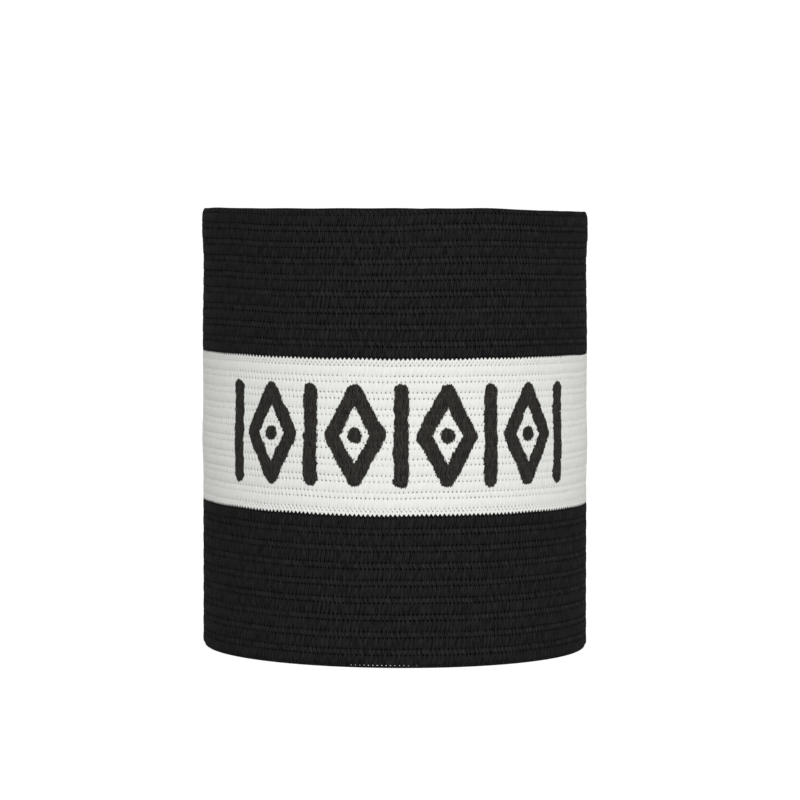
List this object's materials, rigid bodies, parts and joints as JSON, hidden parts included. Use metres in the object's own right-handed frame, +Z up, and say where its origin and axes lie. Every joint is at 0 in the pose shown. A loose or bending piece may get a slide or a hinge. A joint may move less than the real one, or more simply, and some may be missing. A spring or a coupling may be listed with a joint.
{
  "type": "captain armband",
  "caption": "Captain's armband: a loop of ribbed knitted elastic with a white middle stripe between black ones, worn over a sleeve on the upper arm.",
  "frame": {"origin": "middle of the footprint, on the surface that the lower edge stands on", "axes": "+Z up along the band's axis, -Y towards the front with the print, +X to the right as seen from the front"},
  "size_m": [0.0889, 0.0884, 0.1003],
  "materials": {
    "black_elastic": "matt black ribbed knit",
    "white_elastic": "matt white ribbed knit with a printed dark pattern",
    "seam_elastic": "matt ribbed knit in the colours of the stripes, overlocked along its edges"
  },
  "bodies": {
    "root": {"upper_stripe": "black_elastic", "middle_stripe": "white_elastic", "lower_stripe": "black_elastic", "back_seam": "seam_elastic"}
  },
  "joints": []
}
